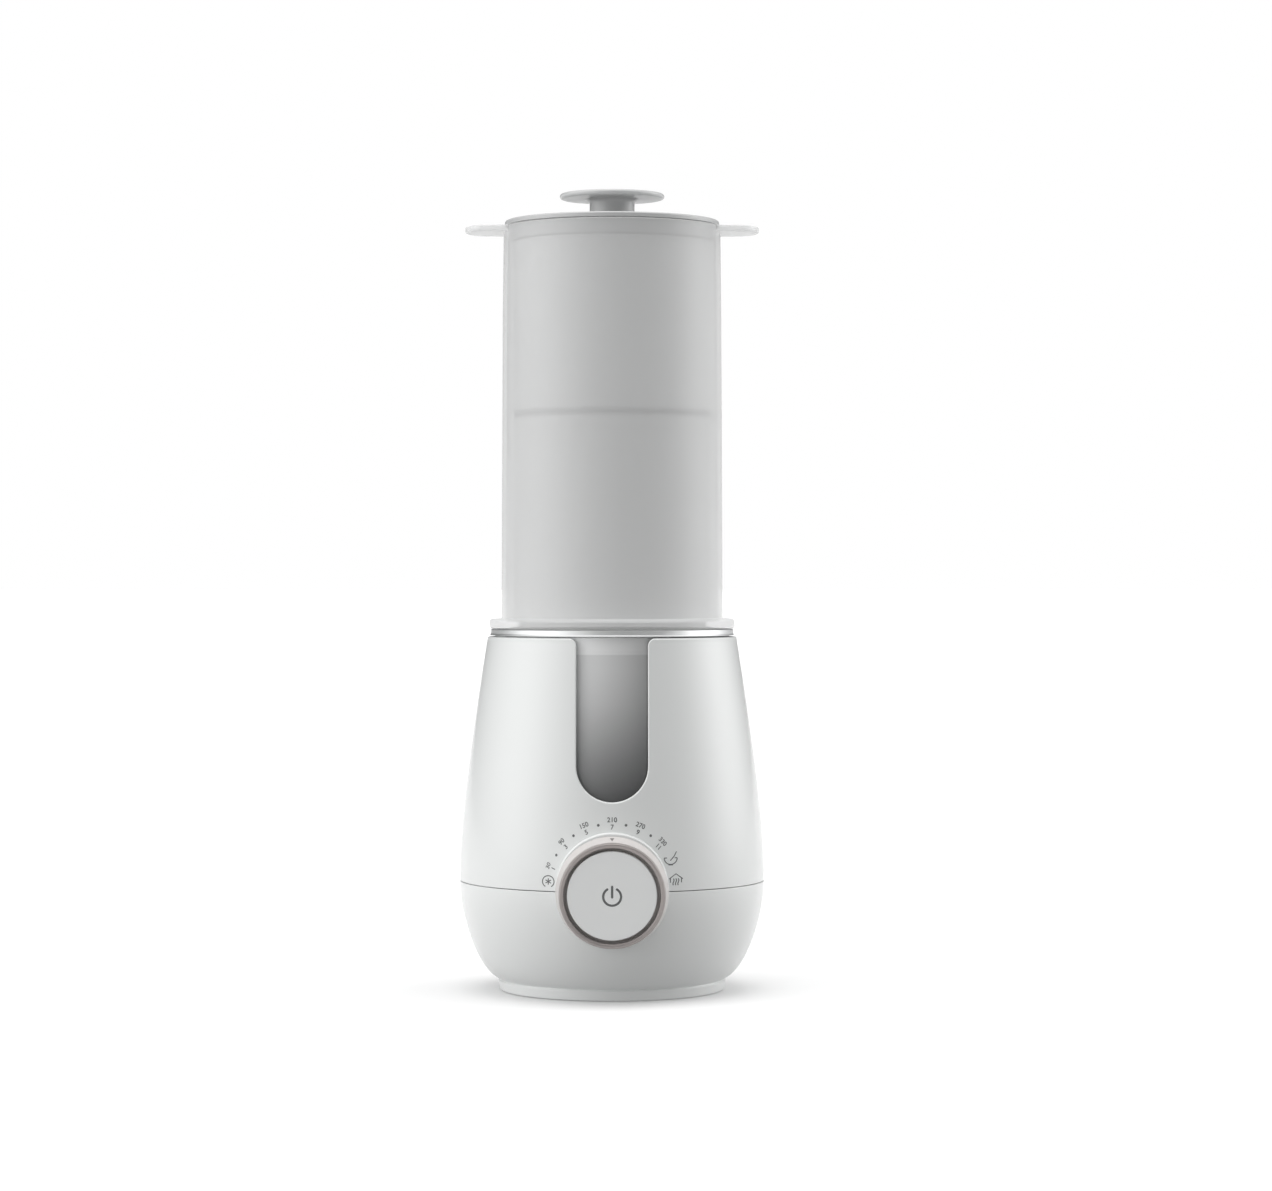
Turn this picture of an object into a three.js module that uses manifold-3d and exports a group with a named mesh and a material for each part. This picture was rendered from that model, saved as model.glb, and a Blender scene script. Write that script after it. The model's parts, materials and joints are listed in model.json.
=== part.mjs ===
// A baby-bottle warmer with a steam steriliser tower.
// Millimetres, +Z up, the front faces -Y, the origin is on the body's axis at the surface it stands on.
// The pear-shaped base holds a tinted warming chamber over a heating plate. The tower stands on the
// chamber's mouth and holds two baskets, one on the other, under a lid.

import * as THREE from "three";
import { mergeVertices } from "three/addons/utils/BufferGeometryUtils.js";
import Module from "manifold-3d";

// ---- driving dimensions --------------------------------------------------------------------------
const GAP = 0.3; // between pieces that touch
const ROUND = 32; // sides of the large turned pieces
const SMALL_ROUND = 24;
const BODY_R = 70.5; // widest, at the seam
const SEAM_Z = 50.9;
const BODY_TOP_Z = 163.7;
const BODY_TOP_R = 57.6;
const WALL = 2.5; // both shells of the base
const FOOT_Z = 0.4; // underside of the moulded foot ring
const FOOT_R = 52; // at its underside: it widens upwards
const FOOT_CREASE_Z = 5.3; // where the foot meets the wall
const COVER_Z = 0.8; // underside of the bottom cover
const COVER_TOP_Z = 3;
const COVER_R = 49;
const SLOT_HALF = 16.1;
const SLOT_CENTRE_Z = 106.9; // centre of the slot's round end
const SLOT_CORNER = 3.2; // radius of the rounded corners at the mouth
const RING_Z = 164.4;
const RING_TOP_Z = 167.3;
const RING_R = 56.7;
const FLANGE_Z = RING_TOP_Z + GAP;
const FLANGE_TOP_Z = 171.9;
const FLANGE_R = 56.8;
const TOWER_R = 51.3; // at the flange
const TOWER_TOP_R = 50.2;
const TOWER_TOP_Z = 353.5;
const EAR_REACH = 68.1;
const EAR_HALF = 14;
const EAR_THICK = 2.9;
const TIER_Z = 266.5; // rim of the lower basket
const BASKET_R = 45.7;
const LID_R = 49.7;
const KNOB_R = 24.3;
const TOTAL_Z = 369.6;
const PLATE_Z = 69.9; // rim of the heating plate
const CHAMBER_FLOOR_Z = 74;

// The dial's own frame: its axis leans down, so that it sits evenly on the pear-shaped wall.
const DIAL_LEAN = THREE.MathUtils.degToRad(5);
const DIAL_SEAT = new THREE.Vector3(0, -69.5, 50.9); // where the axis meets the flat seat
const SEAT_R = 25.2;
const SEAT_RISE = 1.4; // the seat's centre is this much above the dial's axis
const DIAL_HOLE_R = 21.3;
const BUTTON_R = 20;
const BOARD_FACE = -14.5; // along the dial's axis, outwards from the seat

const wasm = await Module();
wasm.setup();

// ---- making solids -------------------------------------------------------------------------------
// A closed three.js geometry as a manifold-3d solid, for joining and cutting.
function solid(geometry) {
  const bare = geometry.clone();
  bare.deleteAttribute("normal");
  bare.deleteAttribute("uv");
  const merged = mergeVertices(bare, 1e-4);
  return new wasm.Manifold(
    new wasm.Mesh({
      numProp: 3,
      vertProperties: merged.getAttribute("position").array,
      triVerts: new Uint32Array(merged.index.array),
    }),
  );
}

function geometryOf(made) {
  const mesh = made.getMesh();
  const geometry = new THREE.BufferGeometry();
  geometry.setAttribute("position", new THREE.BufferAttribute(mesh.vertProperties, 3));
  geometry.setIndex(new THREE.BufferAttribute(mesh.triVerts, 1));
  geometry.computeVertexNormals();
  return geometry;
}

// A closed outline of [radius, height] points, anticlockwise, turned about Z.
function turned(outline, sides) {
  const points = [...outline, outline[0]].map(([r, z]) => new THREE.Vector2(r, z));
  const geometry = new THREE.LatheGeometry(points, sides);
  geometry.rotateX(Math.PI / 2);
  geometry.rotateZ(Math.PI / 2);
  return solid(geometry);
}

function disc(r, z0, z1, sides = 16) {
  const geometry = new THREE.CylinderGeometry(r, r, z1 - z0, sides);
  geometry.rotateX(Math.PI / 2);
  geometry.translate(0, 0, (z0 + z1) / 2);
  return solid(geometry);
}

function block(low, high) {
  const size = high.map((value, axis) => value - low[axis]);
  const geometry = new THREE.BoxGeometry(...size);
  geometry.translate(...low.map((value, axis) => value + size[axis] / 2));
  return solid(geometry);
}

function placed(made, matrix) {
  return solid(geometryOf(made).applyMatrix4(matrix));
}

function moved(made, x, y, z) {
  return placed(made, new THREE.Matrix4().makeTranslation(x, y, z));
}

// The x and y of a point at radius r and an angle in degrees about Z, where 0 is +X.
function around(r, degrees) {
  const angle = THREE.MathUtils.degToRad(degrees);
  return [r * Math.cos(angle), r * Math.sin(angle)];
}

// From the dial's own frame, whose Z points out of the front, to the object's.
const dialFrame = new THREE.Matrix4()
  .makeRotationX(Math.PI / 2 + DIAL_LEAN)
  .setPosition(DIAL_SEAT);

const warmer = new THREE.Group();

function piece(name, made, look) {
  const mesh = new THREE.Mesh(geometryOf(made), new THREE.MeshStandardMaterial(look));
  mesh.name = name;
  warmer.add(mesh);
}

const WHITE = { color: 0xe9eceb, roughness: 0.25 };
const PEARL = { color: 0xded9d5, roughness: 0.35 };
const TAUPE = { color: 0xa39d99, roughness: 0.35, metalness: 0.4 };
const SILVER = { color: 0xc9cbcc, roughness: 0.25, metalness: 0.9 };
const SMOKE = { color: 0x707574, roughness: 0.1, transparent: true, opacity: 0.6 };
const GREY_CLEAR = { color: 0xc4c6c6, roughness: 0.3, transparent: true, opacity: 0.6 };
const GREY = { color: 0xa4a6a6, roughness: 0.35 };
const STEEL = { color: 0xb8babb, roughness: 0.3, metalness: 1 };
const RUBBER = { color: 0x3a3b3c, roughness: 0.8 };
const SILICONE = { color: 0xcfd2d0, roughness: 0.6 };
const DARK = { color: 0x2b2d2e, roughness: 0.5 };
const BOARD = { color: 0x2d5a3c, roughness: 0.5 };

// ---- base: the two white shells ------------------------------------------------------------------
// Both shells follow one curve each, vertical where they meet at the seam.
function wallCurve(lowPoint, lowHandle, highHandle, highPoint) {
  const ends = [lowPoint, lowHandle, highHandle, highPoint].map((p) => new THREE.Vector2(...p));
  return new THREE.CubicBezierCurve(...ends);
}

const lowerWall = wallCurve(
  [52.6, FOOT_CREASE_Z + 0.4],
  [63.5, 10.5],
  [BODY_R, SEAM_Z - 14.2],
  [BODY_R, SEAM_Z - GAP / 2],
);
const upperWall = wallCurve(
  [BODY_R, SEAM_Z + GAP / 2],
  [BODY_R, SEAM_Z + 33.9],
  [61.3, 140],
  [BODY_TOP_R + 0.2, BODY_TOP_Z - 1],
);

function wallPoints(curve, steps, inset) {
  return curve.getPoints(steps).map((p) => [p.x - inset, p.y]);
}

// The flat round seat that the dial turns on, with the hole for its hub.
const seat = placed(moved(disc(SEAT_R, -7, 0, SMALL_ROUND), 0, SEAT_RISE, 0), dialFrame);
const dialHole = placed(disc(DIAL_HOLE_R, -14, 4, SMALL_ROUND), dialFrame);
const aboveSeam = block([-80, -95, SEAM_Z + GAP / 2], [80, 0, 90]);
const belowSeam = block([-80, -95, 0], [80, 0, SEAM_Z - GAP / 2]);

const LIP = 3; // the lower shell's lip stands up inside the upper shell
const lowerOuter = wallPoints(lowerWall, 7, 0);
const lowerInner = wallPoints(lowerWall, 5, WALL).reverse();
let lowerShell = turned(
  [
    [COVER_R + GAP, FOOT_Z],
    [FOOT_R - 0.5, FOOT_Z],
    [FOOT_R, FOOT_Z + 0.5],
    [FOOT_R + 0.8, FOOT_CREASE_Z - 0.7],
    [FOOT_R + 0.4, FOOT_CREASE_Z],
    ...lowerOuter,
    [BODY_R - 1.4, SEAM_Z - GAP / 2],
    [BODY_R - 1.4, SEAM_Z + LIP],
    [BODY_R - WALL, SEAM_Z + LIP],
    ...lowerInner,
    [COVER_R - 1, FOOT_CREASE_Z],
    [COVER_R - 1, COVER_TOP_Z + GAP],
    [COVER_R + GAP, COVER_TOP_Z + GAP],
  ],
  ROUND,
);
const lipAtDial = block([-SEAT_R - 1, -80, SEAM_Z - GAP / 2], [SEAT_R + 1, -40, SEAM_Z + LIP + 1]);
lowerShell = lowerShell.subtract(lipAtDial).add(seat.intersect(belowSeam)).subtract(dialHole);

// Three posts for the cover's screws, each held to the wall by a thin web.
const COVER_SCREW_R = 43;
const COVER_SCREW_ANGLES = [30, 150, 270];
const POST_R = 3.6;
const POST_Z = 5.6;
for (const angle of COVER_SCREW_ANGLES) {
  const [x, y] = around(COVER_SCREW_R, angle);
  const web = block([COVER_SCREW_R, -1, POST_Z + 3.4], [COVER_SCREW_R + 12.6, 1, POST_Z + 12.4]);
  const turn = new THREE.Matrix4().makeRotationZ(THREE.MathUtils.degToRad(angle));
  const post = moved(disc(POST_R, POST_Z, POST_Z + 14.4, 12), x, y, 0).add(placed(web, turn));
  const pilotHole = moved(disc(1.5, POST_Z - 1.6, POST_Z + 10.4, 8), x, y, 0);
  lowerShell = lowerShell.add(post).subtract(pilotHole);
}

// A flat boss at the lower back takes the cord's gland.
const INLET_Z = 21;
const INLET_FACE_Y = 65.2;
const INLET_BOSS_R = 9;
const INLET_HOLE_R = 6.3;
const alongY = new THREE.Matrix4().makeRotationX(-Math.PI / 2).setPosition(0, 0, INLET_Z);
lowerShell = lowerShell
  .add(placed(disc(INLET_BOSS_R, 59, INLET_FACE_Y, 20), alongY))
  .subtract(placed(disc(INLET_BOSS_R, INLET_FACE_Y, 75, 20), alongY))
  .subtract(placed(disc(INLET_HOLE_R, 50, 70, 20), alongY));
piece("lower_housing", lowerShell, WHITE);

const upperOuter = wallPoints(upperWall, 7, 0);
const upperInner = wallPoints(upperWall, 5, WALL).reverse();
let upperShell = turned(
  [
    ...upperOuter,
    [BODY_TOP_R - 0.9, BODY_TOP_Z],
    [BODY_TOP_R - WALL + 0.2, BODY_TOP_Z],
    ...upperInner.filter(([, z]) => z > SEAM_Z + LIP + 1),
    [BODY_R - WALL, SEAM_Z + LIP + GAP],
    [BODY_R - 1.1, SEAM_Z + LIP + GAP],
    [BODY_R - 1.1, SEAM_Z + GAP / 2],
  ],
  ROUND,
);

// The slot: straight sides, a round foot, and rounded corners at the mouth.
const slotShape = new THREE.Shape();
const cornerX = SLOT_HALF + SLOT_CORNER;
const cornerZ = BODY_TOP_Z - SLOT_CORNER;
slotShape.moveTo(cornerX, BODY_TOP_Z + 2);
slotShape.lineTo(-cornerX, BODY_TOP_Z + 2);
slotShape.absarc(-cornerX, cornerZ, SLOT_CORNER, Math.PI / 2, 0, true);
slotShape.absarc(0, SLOT_CENTRE_Z, SLOT_HALF, Math.PI, 2 * Math.PI, false);
slotShape.absarc(cornerX, cornerZ, SLOT_CORNER, Math.PI, Math.PI / 2, true);
const slotCut = new THREE.ExtrudeGeometry(slotShape, {
  depth: 50,
  bevelEnabled: false,
  curveSegments: 7,
});
slotCut.rotateX(Math.PI / 2);
slotCut.translate(0, -40, 0);
upperShell = upperShell
  .add(seat.intersect(aboveSeam))
  .subtract(dialHole)
  .subtract(solid(slotCut));
piece("upper_housing", upperShell, WHITE);

// ---- base: bottom cover, feet and screws ---------------------------------------------------------
const FOOT_PAD_R = 6;
const FOOT_PAD_Z = 1.4;
const FOOT_PAD_PLACES = [45, 135, 225, 315].map((angle) => around(39, angle));
const coverOutline = [
  [0, COVER_Z],
  [COVER_R - 0.5, COVER_Z],
  [COVER_R, COVER_Z + 0.5],
  [COVER_R, COVER_TOP_Z],
  [0, COVER_TOP_Z],
];
let cover = turned(coverOutline, ROUND);
for (const angle of COVER_SCREW_ANGLES) {
  const [x, y] = around(COVER_SCREW_R, angle);
  const headWell = disc(3.4, 0, 2, 12);
  const shankHole = disc(1.9, 0, COVER_TOP_Z + 2, 8);
  cover = cover.subtract(moved(headWell.add(shankHole), x, y, 0));
}
for (const [x, y] of FOOT_PAD_PLACES) {
  cover = cover.subtract(moved(disc(FOOT_PAD_R + GAP, 0, FOOT_PAD_Z + GAP, 16), x, y, 0));
}
piece("bottom_cover", cover, WHITE);

FOOT_PAD_PLACES.forEach(([x, y], index) => {
  piece("foot_" + (index + 1), moved(disc(FOOT_PAD_R, 0, FOOT_PAD_Z, 16), x, y, 0), RUBBER);
});

// A screw standing on its head: the head's underside is at z0.
function screw(x, y, z0, headR, headThick, shankR, reach) {
  const head = disc(headR, z0, z0 + headThick, 12);
  return moved(head.add(disc(shankR, z0 + headThick / 2, z0 + reach, 8)), x, y, 0);
}

COVER_SCREW_ANGLES.forEach((angle, index) => {
  const [x, y] = around(COVER_SCREW_R, angle);
  piece("cover_screw_" + (index + 1), screw(x, y, 0.9, 3, 0.8, 1.2, 13), STEEL);
});

// ---- base: the warming chamber and what heats it -------------------------------------------------
// The chamber's wall follows the housing's, close behind the slot, and its collar fills the mouth.
const CHAMBER_FLANGE_R = 54;
const CHAMBER_WALL = 2;
const CHAMBER_INSET = WALL + 2; // from the housing's outer face to the chamber's
const chamberSides = (inset) =>
  wallPoints(upperWall, 9, inset).filter(([, z]) => z > 86 && z < 153);
const CHAMBER_MOUTH_R = 42; // the hole in its floor, over the heating plate
const COLLAR_R = 54.4;
const COLLAR_Z = 158;
const COLLAR_TOP_Z = RING_Z - GAP;
const chamberOutline = [
  [CHAMBER_MOUTH_R, CHAMBER_FLOOR_Z],
  [CHAMBER_FLANGE_R, CHAMBER_FLOOR_Z],
  [58.8, CHAMBER_FLOOR_Z + 3.4],
  ...chamberSides(CHAMBER_INSET),
  [COLLAR_R, COLLAR_Z],
  [COLLAR_R, COLLAR_TOP_Z],
  [COLLAR_R - CHAMBER_WALL, COLLAR_TOP_Z],
  [COLLAR_R - CHAMBER_WALL, COLLAR_Z],
  ...chamberSides(CHAMBER_INSET + CHAMBER_WALL).reverse(),
  [57.6, CHAMBER_FLOOR_Z + 5.4],
  [CHAMBER_FLANGE_R - 0.6, CHAMBER_FLOOR_Z + 2.4],
  [CHAMBER_MOUTH_R, CHAMBER_FLOOR_Z + 2.4],
];
let chamber = turned(chamberOutline, ROUND);
const CLAMP_SCREW_PLACES = [90, 210, 330].map((angle) => around(51.4, angle));
const CLAMP_HOLE_R = 1.4;
for (const [x, y] of CLAMP_SCREW_PLACES) {
  const hole = disc(CLAMP_HOLE_R, CHAMBER_FLOOR_Z - 4, CHAMBER_FLOOR_Z + 4, 8);
  chamber = chamber.subtract(moved(hole, x, y, 0));
}
piece("warming_chamber", chamber, SMOKE);

const SEAL_R = 47;
const SEAL_THICK = 2;
const sealOutline = [
  [CHAMBER_MOUTH_R - 0.1, CHAMBER_FLOOR_Z - GAP - SEAL_THICK],
  [SEAL_R, CHAMBER_FLOOR_Z - GAP - SEAL_THICK],
  [SEAL_R, CHAMBER_FLOOR_Z - GAP],
  [CHAMBER_MOUTH_R - 0.1, CHAMBER_FLOOR_Z - GAP],
];
piece("chamber_seal", turned(sealOutline, SMALL_ROUND), SILICONE);

// The heating plate is a pressed steel dish turned upside down, with a flat rim under the seal.
const PLATE_TOP_Z = 76;
const PLATE_THICK = 1.5;
const PLATE_R = 41.4;
const plateOutline = [
  [0, PLATE_TOP_Z - PLATE_THICK],
  [PLATE_R - PLATE_THICK, PLATE_TOP_Z - PLATE_THICK],
  [PLATE_R - PLATE_THICK, PLATE_Z],
  [SEAL_R, PLATE_Z],
  [SEAL_R, PLATE_Z + PLATE_THICK],
  [PLATE_R, PLATE_Z + PLATE_THICK],
  [PLATE_R, PLATE_TOP_Z],
  [0, PLATE_TOP_Z],
];
piece("heating_plate", turned(plateOutline, SMALL_ROUND), STEEL);

// The clamp ring presses the plate's rim and the seal up against the chamber's floor.
const CLAMP_THICK = 1.4;
const CLAMP_Z = PLATE_Z - GAP - CLAMP_THICK;
const clampOutline = [
  [PLATE_R, CLAMP_Z],
  [CHAMBER_FLANGE_R, CLAMP_Z],
  [CHAMBER_FLANGE_R, CLAMP_Z + CLAMP_THICK],
  [PLATE_R, CLAMP_Z + CLAMP_THICK],
];
let clamp = turned(clampOutline, SMALL_ROUND);
for (const [x, y] of CLAMP_SCREW_PLACES) {
  clamp = clamp.subtract(moved(disc(CLAMP_HOLE_R, CLAMP_Z - 2, CLAMP_Z + 4, 8), x, y, 0));
}
piece("clamp_ring", clamp, STEEL);
CLAMP_SCREW_PLACES.forEach(([x, y], index) => {
  piece("clamp_screw_" + (index + 1), screw(x, y, CLAMP_Z - 1.5, 2.4, 1.2, 1, 9.2), STEEL);
});

// The sheathed element runs most of the way round under the plate, and its two ends turn down.
const ELEMENT_R = 27;
const ELEMENT_TUBE_R = 3.3;
const ELEMENT_Z = PLATE_TOP_Z - PLATE_THICK - GAP - ELEMENT_TUBE_R;
const ELEMENT_HALF_GAP = 28; // degrees, on each side of the front
const ELEMENT_END_Z = 57;
const ELEMENT_STEPS = 20;
const elementRing = [];
for (let step = 0; step <= ELEMENT_STEPS; step += 1) {
  const sweep = (step / ELEMENT_STEPS) * (360 - 2 * ELEMENT_HALF_GAP);
  const place = around(ELEMENT_R, 270 + ELEMENT_HALF_GAP + sweep);
  elementRing.push(new THREE.Vector3(...place, ELEMENT_Z));
}
const firstEnd = elementRing[0].clone().setZ(ELEMENT_END_Z).add(new THREE.Vector3(-4, -3, 0));
const lastEnd = elementRing[ELEMENT_STEPS].clone().setZ(ELEMENT_END_Z).add(new THREE.Vector3(4, -3, 0));
const elementPath = new THREE.CatmullRomCurve3(
  [firstEnd, ...elementRing, lastEnd],
  false,
  "centripetal",
);

function rod(curve, r, sides, steps) {
  const section = new THREE.Shape();
  for (let side = 0; side < sides; side += 1) {
    const angle = (2 * Math.PI * side) / sides;
    const point = [r * Math.cos(angle), r * Math.sin(angle)];
    if (side === 0) section.moveTo(...point);
    else section.lineTo(...point);
  }
  return solid(new THREE.ExtrudeGeometry(section, { steps, extrudePath: curve }));
}

piece("heating_element", rod(elementPath, ELEMENT_TUBE_R, 8, 26), STEEL);
piece("temperature_sensor", disc(4, 66, PLATE_TOP_Z - PLATE_THICK - GAP, 12), DARK);
const FUSE_R = 2.8;
const fuse = placed(disc(FUSE_R, -8, 8, 12), new THREE.Matrix4().makeRotationX(Math.PI / 2));
piece("thermal_fuse", moved(fuse, 12, 0, PLATE_TOP_Z - PLATE_THICK - GAP - FUSE_R), SILICONE);

const ringOutline = [
  [RING_R - 3.5, RING_Z],
  [RING_R, RING_Z],
  [RING_R - 0.5, RING_Z + 0.9],
  [RING_R - 0.6, RING_TOP_Z - 0.5],
  [RING_R - 1.1, RING_TOP_Z],
  [RING_R - 3.5, RING_TOP_Z],
];
piece("trim_ring", turned(ringOutline, ROUND), SILVER);

// ---- dial, button and the board behind them ------------------------------------------------------
// All of these are turned about the dial's axis: their heights run outwards from the flat seat.
const FACE = 10.5; // front of the dial
const HUB_END = -9.6;
const knobOutline = [
  [19.3, HUB_END],
  [20.9, HUB_END],
  [20.9, 0.4],
  [25.3, 0.4],
  [25.3, 1.2],
  [23.9, FACE - 2.2],
  [21.7, FACE - 2.2],
  [21.7, 5],
  [19.3, 5],
];
piece("dial_knob", placed(turned(knobOutline, SMALL_ROUND), dialFrame), PEARL);

const dialRingOutline = [
  [21.6, FACE - 1.9],
  [23.7, FACE - 1.9],
  [23.5, FACE - 0.5],
  [23, FACE],
  [22.2, FACE - 0.1],
  [21.6, FACE - 0.7],
];
piece("dial_trim_ring", placed(turned(dialRingOutline, SMALL_ROUND), dialFrame), TAUPE);

const BUTTON_TRAVEL = 0.8;
const BUTTON_FACE = FACE - 0.7;
const buttonOutline = [
  [0, BUTTON_FACE - 2.2],
  [15.4, BUTTON_FACE - 2.2],
  [15.4, -5],
  [16.8, -5],
  [16.8, BUTTON_FACE - 2.2],
  [BUTTON_R, BUTTON_FACE - 2.2],
  [BUTTON_R, BUTTON_FACE - 0.5],
  [BUTTON_R - 0.5, BUTTON_FACE],
  [0, BUTTON_FACE],
];
const PLUNGER_END = -10.7;
const button = turned(buttonOutline, SMALL_ROUND).add(disc(2, PLUNGER_END, BUTTON_FACE - 1, 10));
piece("power_button", placed(button, dialFrame), WHITE);

const bushingOutline = [
  [17.1, BOARD_FACE + GAP],
  [24, BOARD_FACE + GAP],
  [24, BOARD_FACE + 2],
  [19, BOARD_FACE + 2],
  [19, 4.7],
  [17.1, 4.7],
];
const BOARD_SCREW_R = 21.6;
const sensorRoom = block([17.05, -6, BOARD_FACE], [25, 6, BOARD_FACE + 2.1]);
let bushing = turned(bushingOutline, SMALL_ROUND).subtract(sensorRoom);
const BOARD_SCREW_PLACES = [
  [-BOARD_SCREW_R, 0],
  [0, -BOARD_SCREW_R],
];
for (const [x, y] of BOARD_SCREW_PLACES) {
  bushing = bushing.subtract(moved(disc(1.2, -20, -12.2, 8), x, y, 0));
}
piece("dial_bushing", placed(bushing, dialFrame), DARK);

// The slotted wheel clips round the end of the dial's hub.
let wheel = turned(
  [
    [19.3, -11.9],
    [23.6, -11.9],
    [23.6, -10.9],
    [21.2, -10.9],
    [21.2, HUB_END - GAP],
    [19.3, HUB_END - GAP],
  ],
  ROUND,
);
for (let slot = 0; slot < 12; slot += 1) {
  const notch = block([22.2, -1.4, -13], [25, 1.4, -10]);
  const turn = new THREE.Matrix4().makeRotationZ((slot * Math.PI) / 6);
  wheel = wheel.subtract(placed(notch, turn));
}
piece("encoder_wheel", placed(wheel, dialFrame), DARK);

const BOARD_HALF = [23, 20];
const BOARD_THICK = 1.6;
let board = block(
  [-BOARD_HALF[0], -BOARD_HALF[1] - 4, BOARD_FACE - BOARD_THICK],
  [BOARD_HALF[0] + 3, BOARD_HALF[1], BOARD_FACE],
);
for (const [x, y] of BOARD_SCREW_PLACES) {
  board = board.subtract(moved(disc(1.3, -20, -12, 8), x, y, 0));
}
piece("control_board", placed(board, dialFrame), BOARD);
BOARD_SCREW_PLACES.forEach(([x, y], index) => {
  const made = screw(x, y, BOARD_FACE - BOARD_THICK - 1.6, 2, 1.2, 0.9, 5.2);
  piece("board_screw_" + (index + 1), placed(made, dialFrame), STEEL);
});

const SWITCH_TOP = PLUNGER_END - BUTTON_TRAVEL - 0.4;
const tact = block([-3, -3, BOARD_FACE + GAP], [3, 3, SWITCH_TOP - 0.8]);
piece("tact_switch", placed(tact.add(disc(1.6, BOARD_FACE + 1, SWITCH_TOP, 10)), dialFrame), DARK);

const fork = block([21.6, -4, BOARD_FACE + GAP], [26, 4, -8]).subtract(
  block([20, -5, -12.3], [24.3, 5, -10.3]),
);
piece("encoder_sensor", placed(fork, dialFrame), DARK);

// ---- cord inlet and inner wiring -----------------------------------------------------------------
const inletOutline = [
  [4, 52],
  [8, 52],
  [8, 54.5],
  [5.9, 54.5],
  [5.9, INLET_FACE_Y + GAP],
  [7.4, INLET_FACE_Y + GAP],
  [6.8, INLET_FACE_Y + 2.6],
  [4, INLET_FACE_Y + 2.6],
];
piece("cord_inlet", placed(turned(inletOutline, 20), alongY), RUBBER);

for (const [index, side] of [-1, 1].entries()) {
  const mainsRoute = new THREE.CatmullRomCurve3([
    new THREE.Vector3(side * 2, 51, INLET_Z),
    new THREE.Vector3(side * 8, 40, 25),
    new THREE.Vector3(side * 20, 10, 27),
    new THREE.Vector3(side * 22, -30, 27),
    new THREE.Vector3(side * 19, -50.4, 37),
  ]);
  piece("mains_lead_" + (index + 1), rod(mainsRoute, 1.2, 6, 14), index ? DARK : STEEL);
}
const leadEnds = [lastEnd, firstEnd];
for (const [index, side] of [-1, 1].entries()) {
  const start = leadEnds[index].clone().add(new THREE.Vector3(0, 0, -1));
  const heaterRoute = new THREE.CatmullRomCurve3([
    start,
    new THREE.Vector3(side * 13, -34, 46),
    new THREE.Vector3(side * 13, -44, 44),
    new THREE.Vector3(side * 12, -52, 48),
  ]);
  piece("heater_lead_" + (index + 1), rod(heaterRoute, 1.2, 6, 10), SILICONE);
}

// ---- steriliser tower ----------------------------------------------------------------------------
const SPIGOT_Z = 157;
const LEDGE_Z = 170.6; // the lower basket stands on this ledge
let tower = turned(
  [
    [47.6, SPIGOT_Z],
    [49.6, SPIGOT_Z],
    [49.6, FLANGE_Z],
    [FLANGE_R - 0.6, FLANGE_Z],
    [FLANGE_R, FLANGE_Z + 0.6],
    [FLANGE_R, FLANGE_TOP_Z - 1],
    [FLANGE_R - 1, FLANGE_TOP_Z],
    [TOWER_R, FLANGE_TOP_Z],
    [TOWER_TOP_R + 0.5, TOWER_TOP_Z - 40],
    [TOWER_TOP_R, TOWER_TOP_Z],
    [TOWER_TOP_R - 2, TOWER_TOP_Z],
    [TOWER_TOP_R - 1.5, TOWER_TOP_Z - 40],
    [TOWER_R - 2, LEDGE_Z],
    [43.4, LEDGE_Z],
    [43.4, LEDGE_Z - 2],
    [47.6, LEDGE_Z - 3],
  ],
  ROUND,
);
for (const side of [-1, 1]) {
  const ear = new THREE.Shape();
  const root = 47.5;
  ear.moveTo(side * root, -EAR_HALF - 2);
  ear.lineTo(side * (EAR_REACH - 9), -EAR_HALF);
  ear.absellipse(
    side * (EAR_REACH - 9),
    0,
    9,
    EAR_HALF,
    -Math.PI / 2,
    side > 0 ? Math.PI / 2 : -1.5 * Math.PI,
    side < 0,
  );
  ear.lineTo(side * root, EAR_HALF + 2);
  const tab = new THREE.ExtrudeGeometry(ear, {
    depth: EAR_THICK,
    bevelEnabled: false,
    curveSegments: 8,
  });
  tab.translate(0, 0, TOWER_TOP_Z - EAR_THICK);
  const bore = disc(TOWER_TOP_R - 1.9, TOWER_TOP_Z - 10, TOWER_TOP_Z + 5, ROUND);
  tower = tower.add(solid(tab).subtract(bore));
}
piece("steriliser_shell", tower, GREY_CLEAR);

// ---- baskets -------------------------------------------------------------------------------------
const STEAM_HOLE_R = 4.2;
function steamHoles(z0, z1) {
  let holes = disc(STEAM_HOLE_R, z0, z1, 8);
  for (const [ring, count] of [[15, 5], [29, 8]]) {
    for (let index = 0; index < count; index += 1) {
      const [x, y] = around(ring, (360 * index) / count);
      holes = holes.add(moved(disc(STEAM_HOLE_R, z0, z1, 8), x, y, 0));
    }
  }
  return holes;
}

const LOWER_BASKET_Z = LEDGE_Z + GAP;
const lowerBasket = turned(
  [
    [0, LOWER_BASKET_Z],
    [BASKET_R - 0.4, LOWER_BASKET_Z],
    [BASKET_R, LOWER_BASKET_Z + 3],
    [BASKET_R, TIER_Z - GAP],
    [BASKET_R - 1.6, TIER_Z - GAP],
    [BASKET_R - 1.6, LOWER_BASKET_Z + 1.8],
    [0, LOWER_BASKET_Z + 1.8],
  ],
  ROUND,
).subtract(steamHoles(LOWER_BASKET_Z - 2, LOWER_BASKET_Z + 4));
piece("lower_basket", lowerBasket, GREY_CLEAR);

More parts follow.
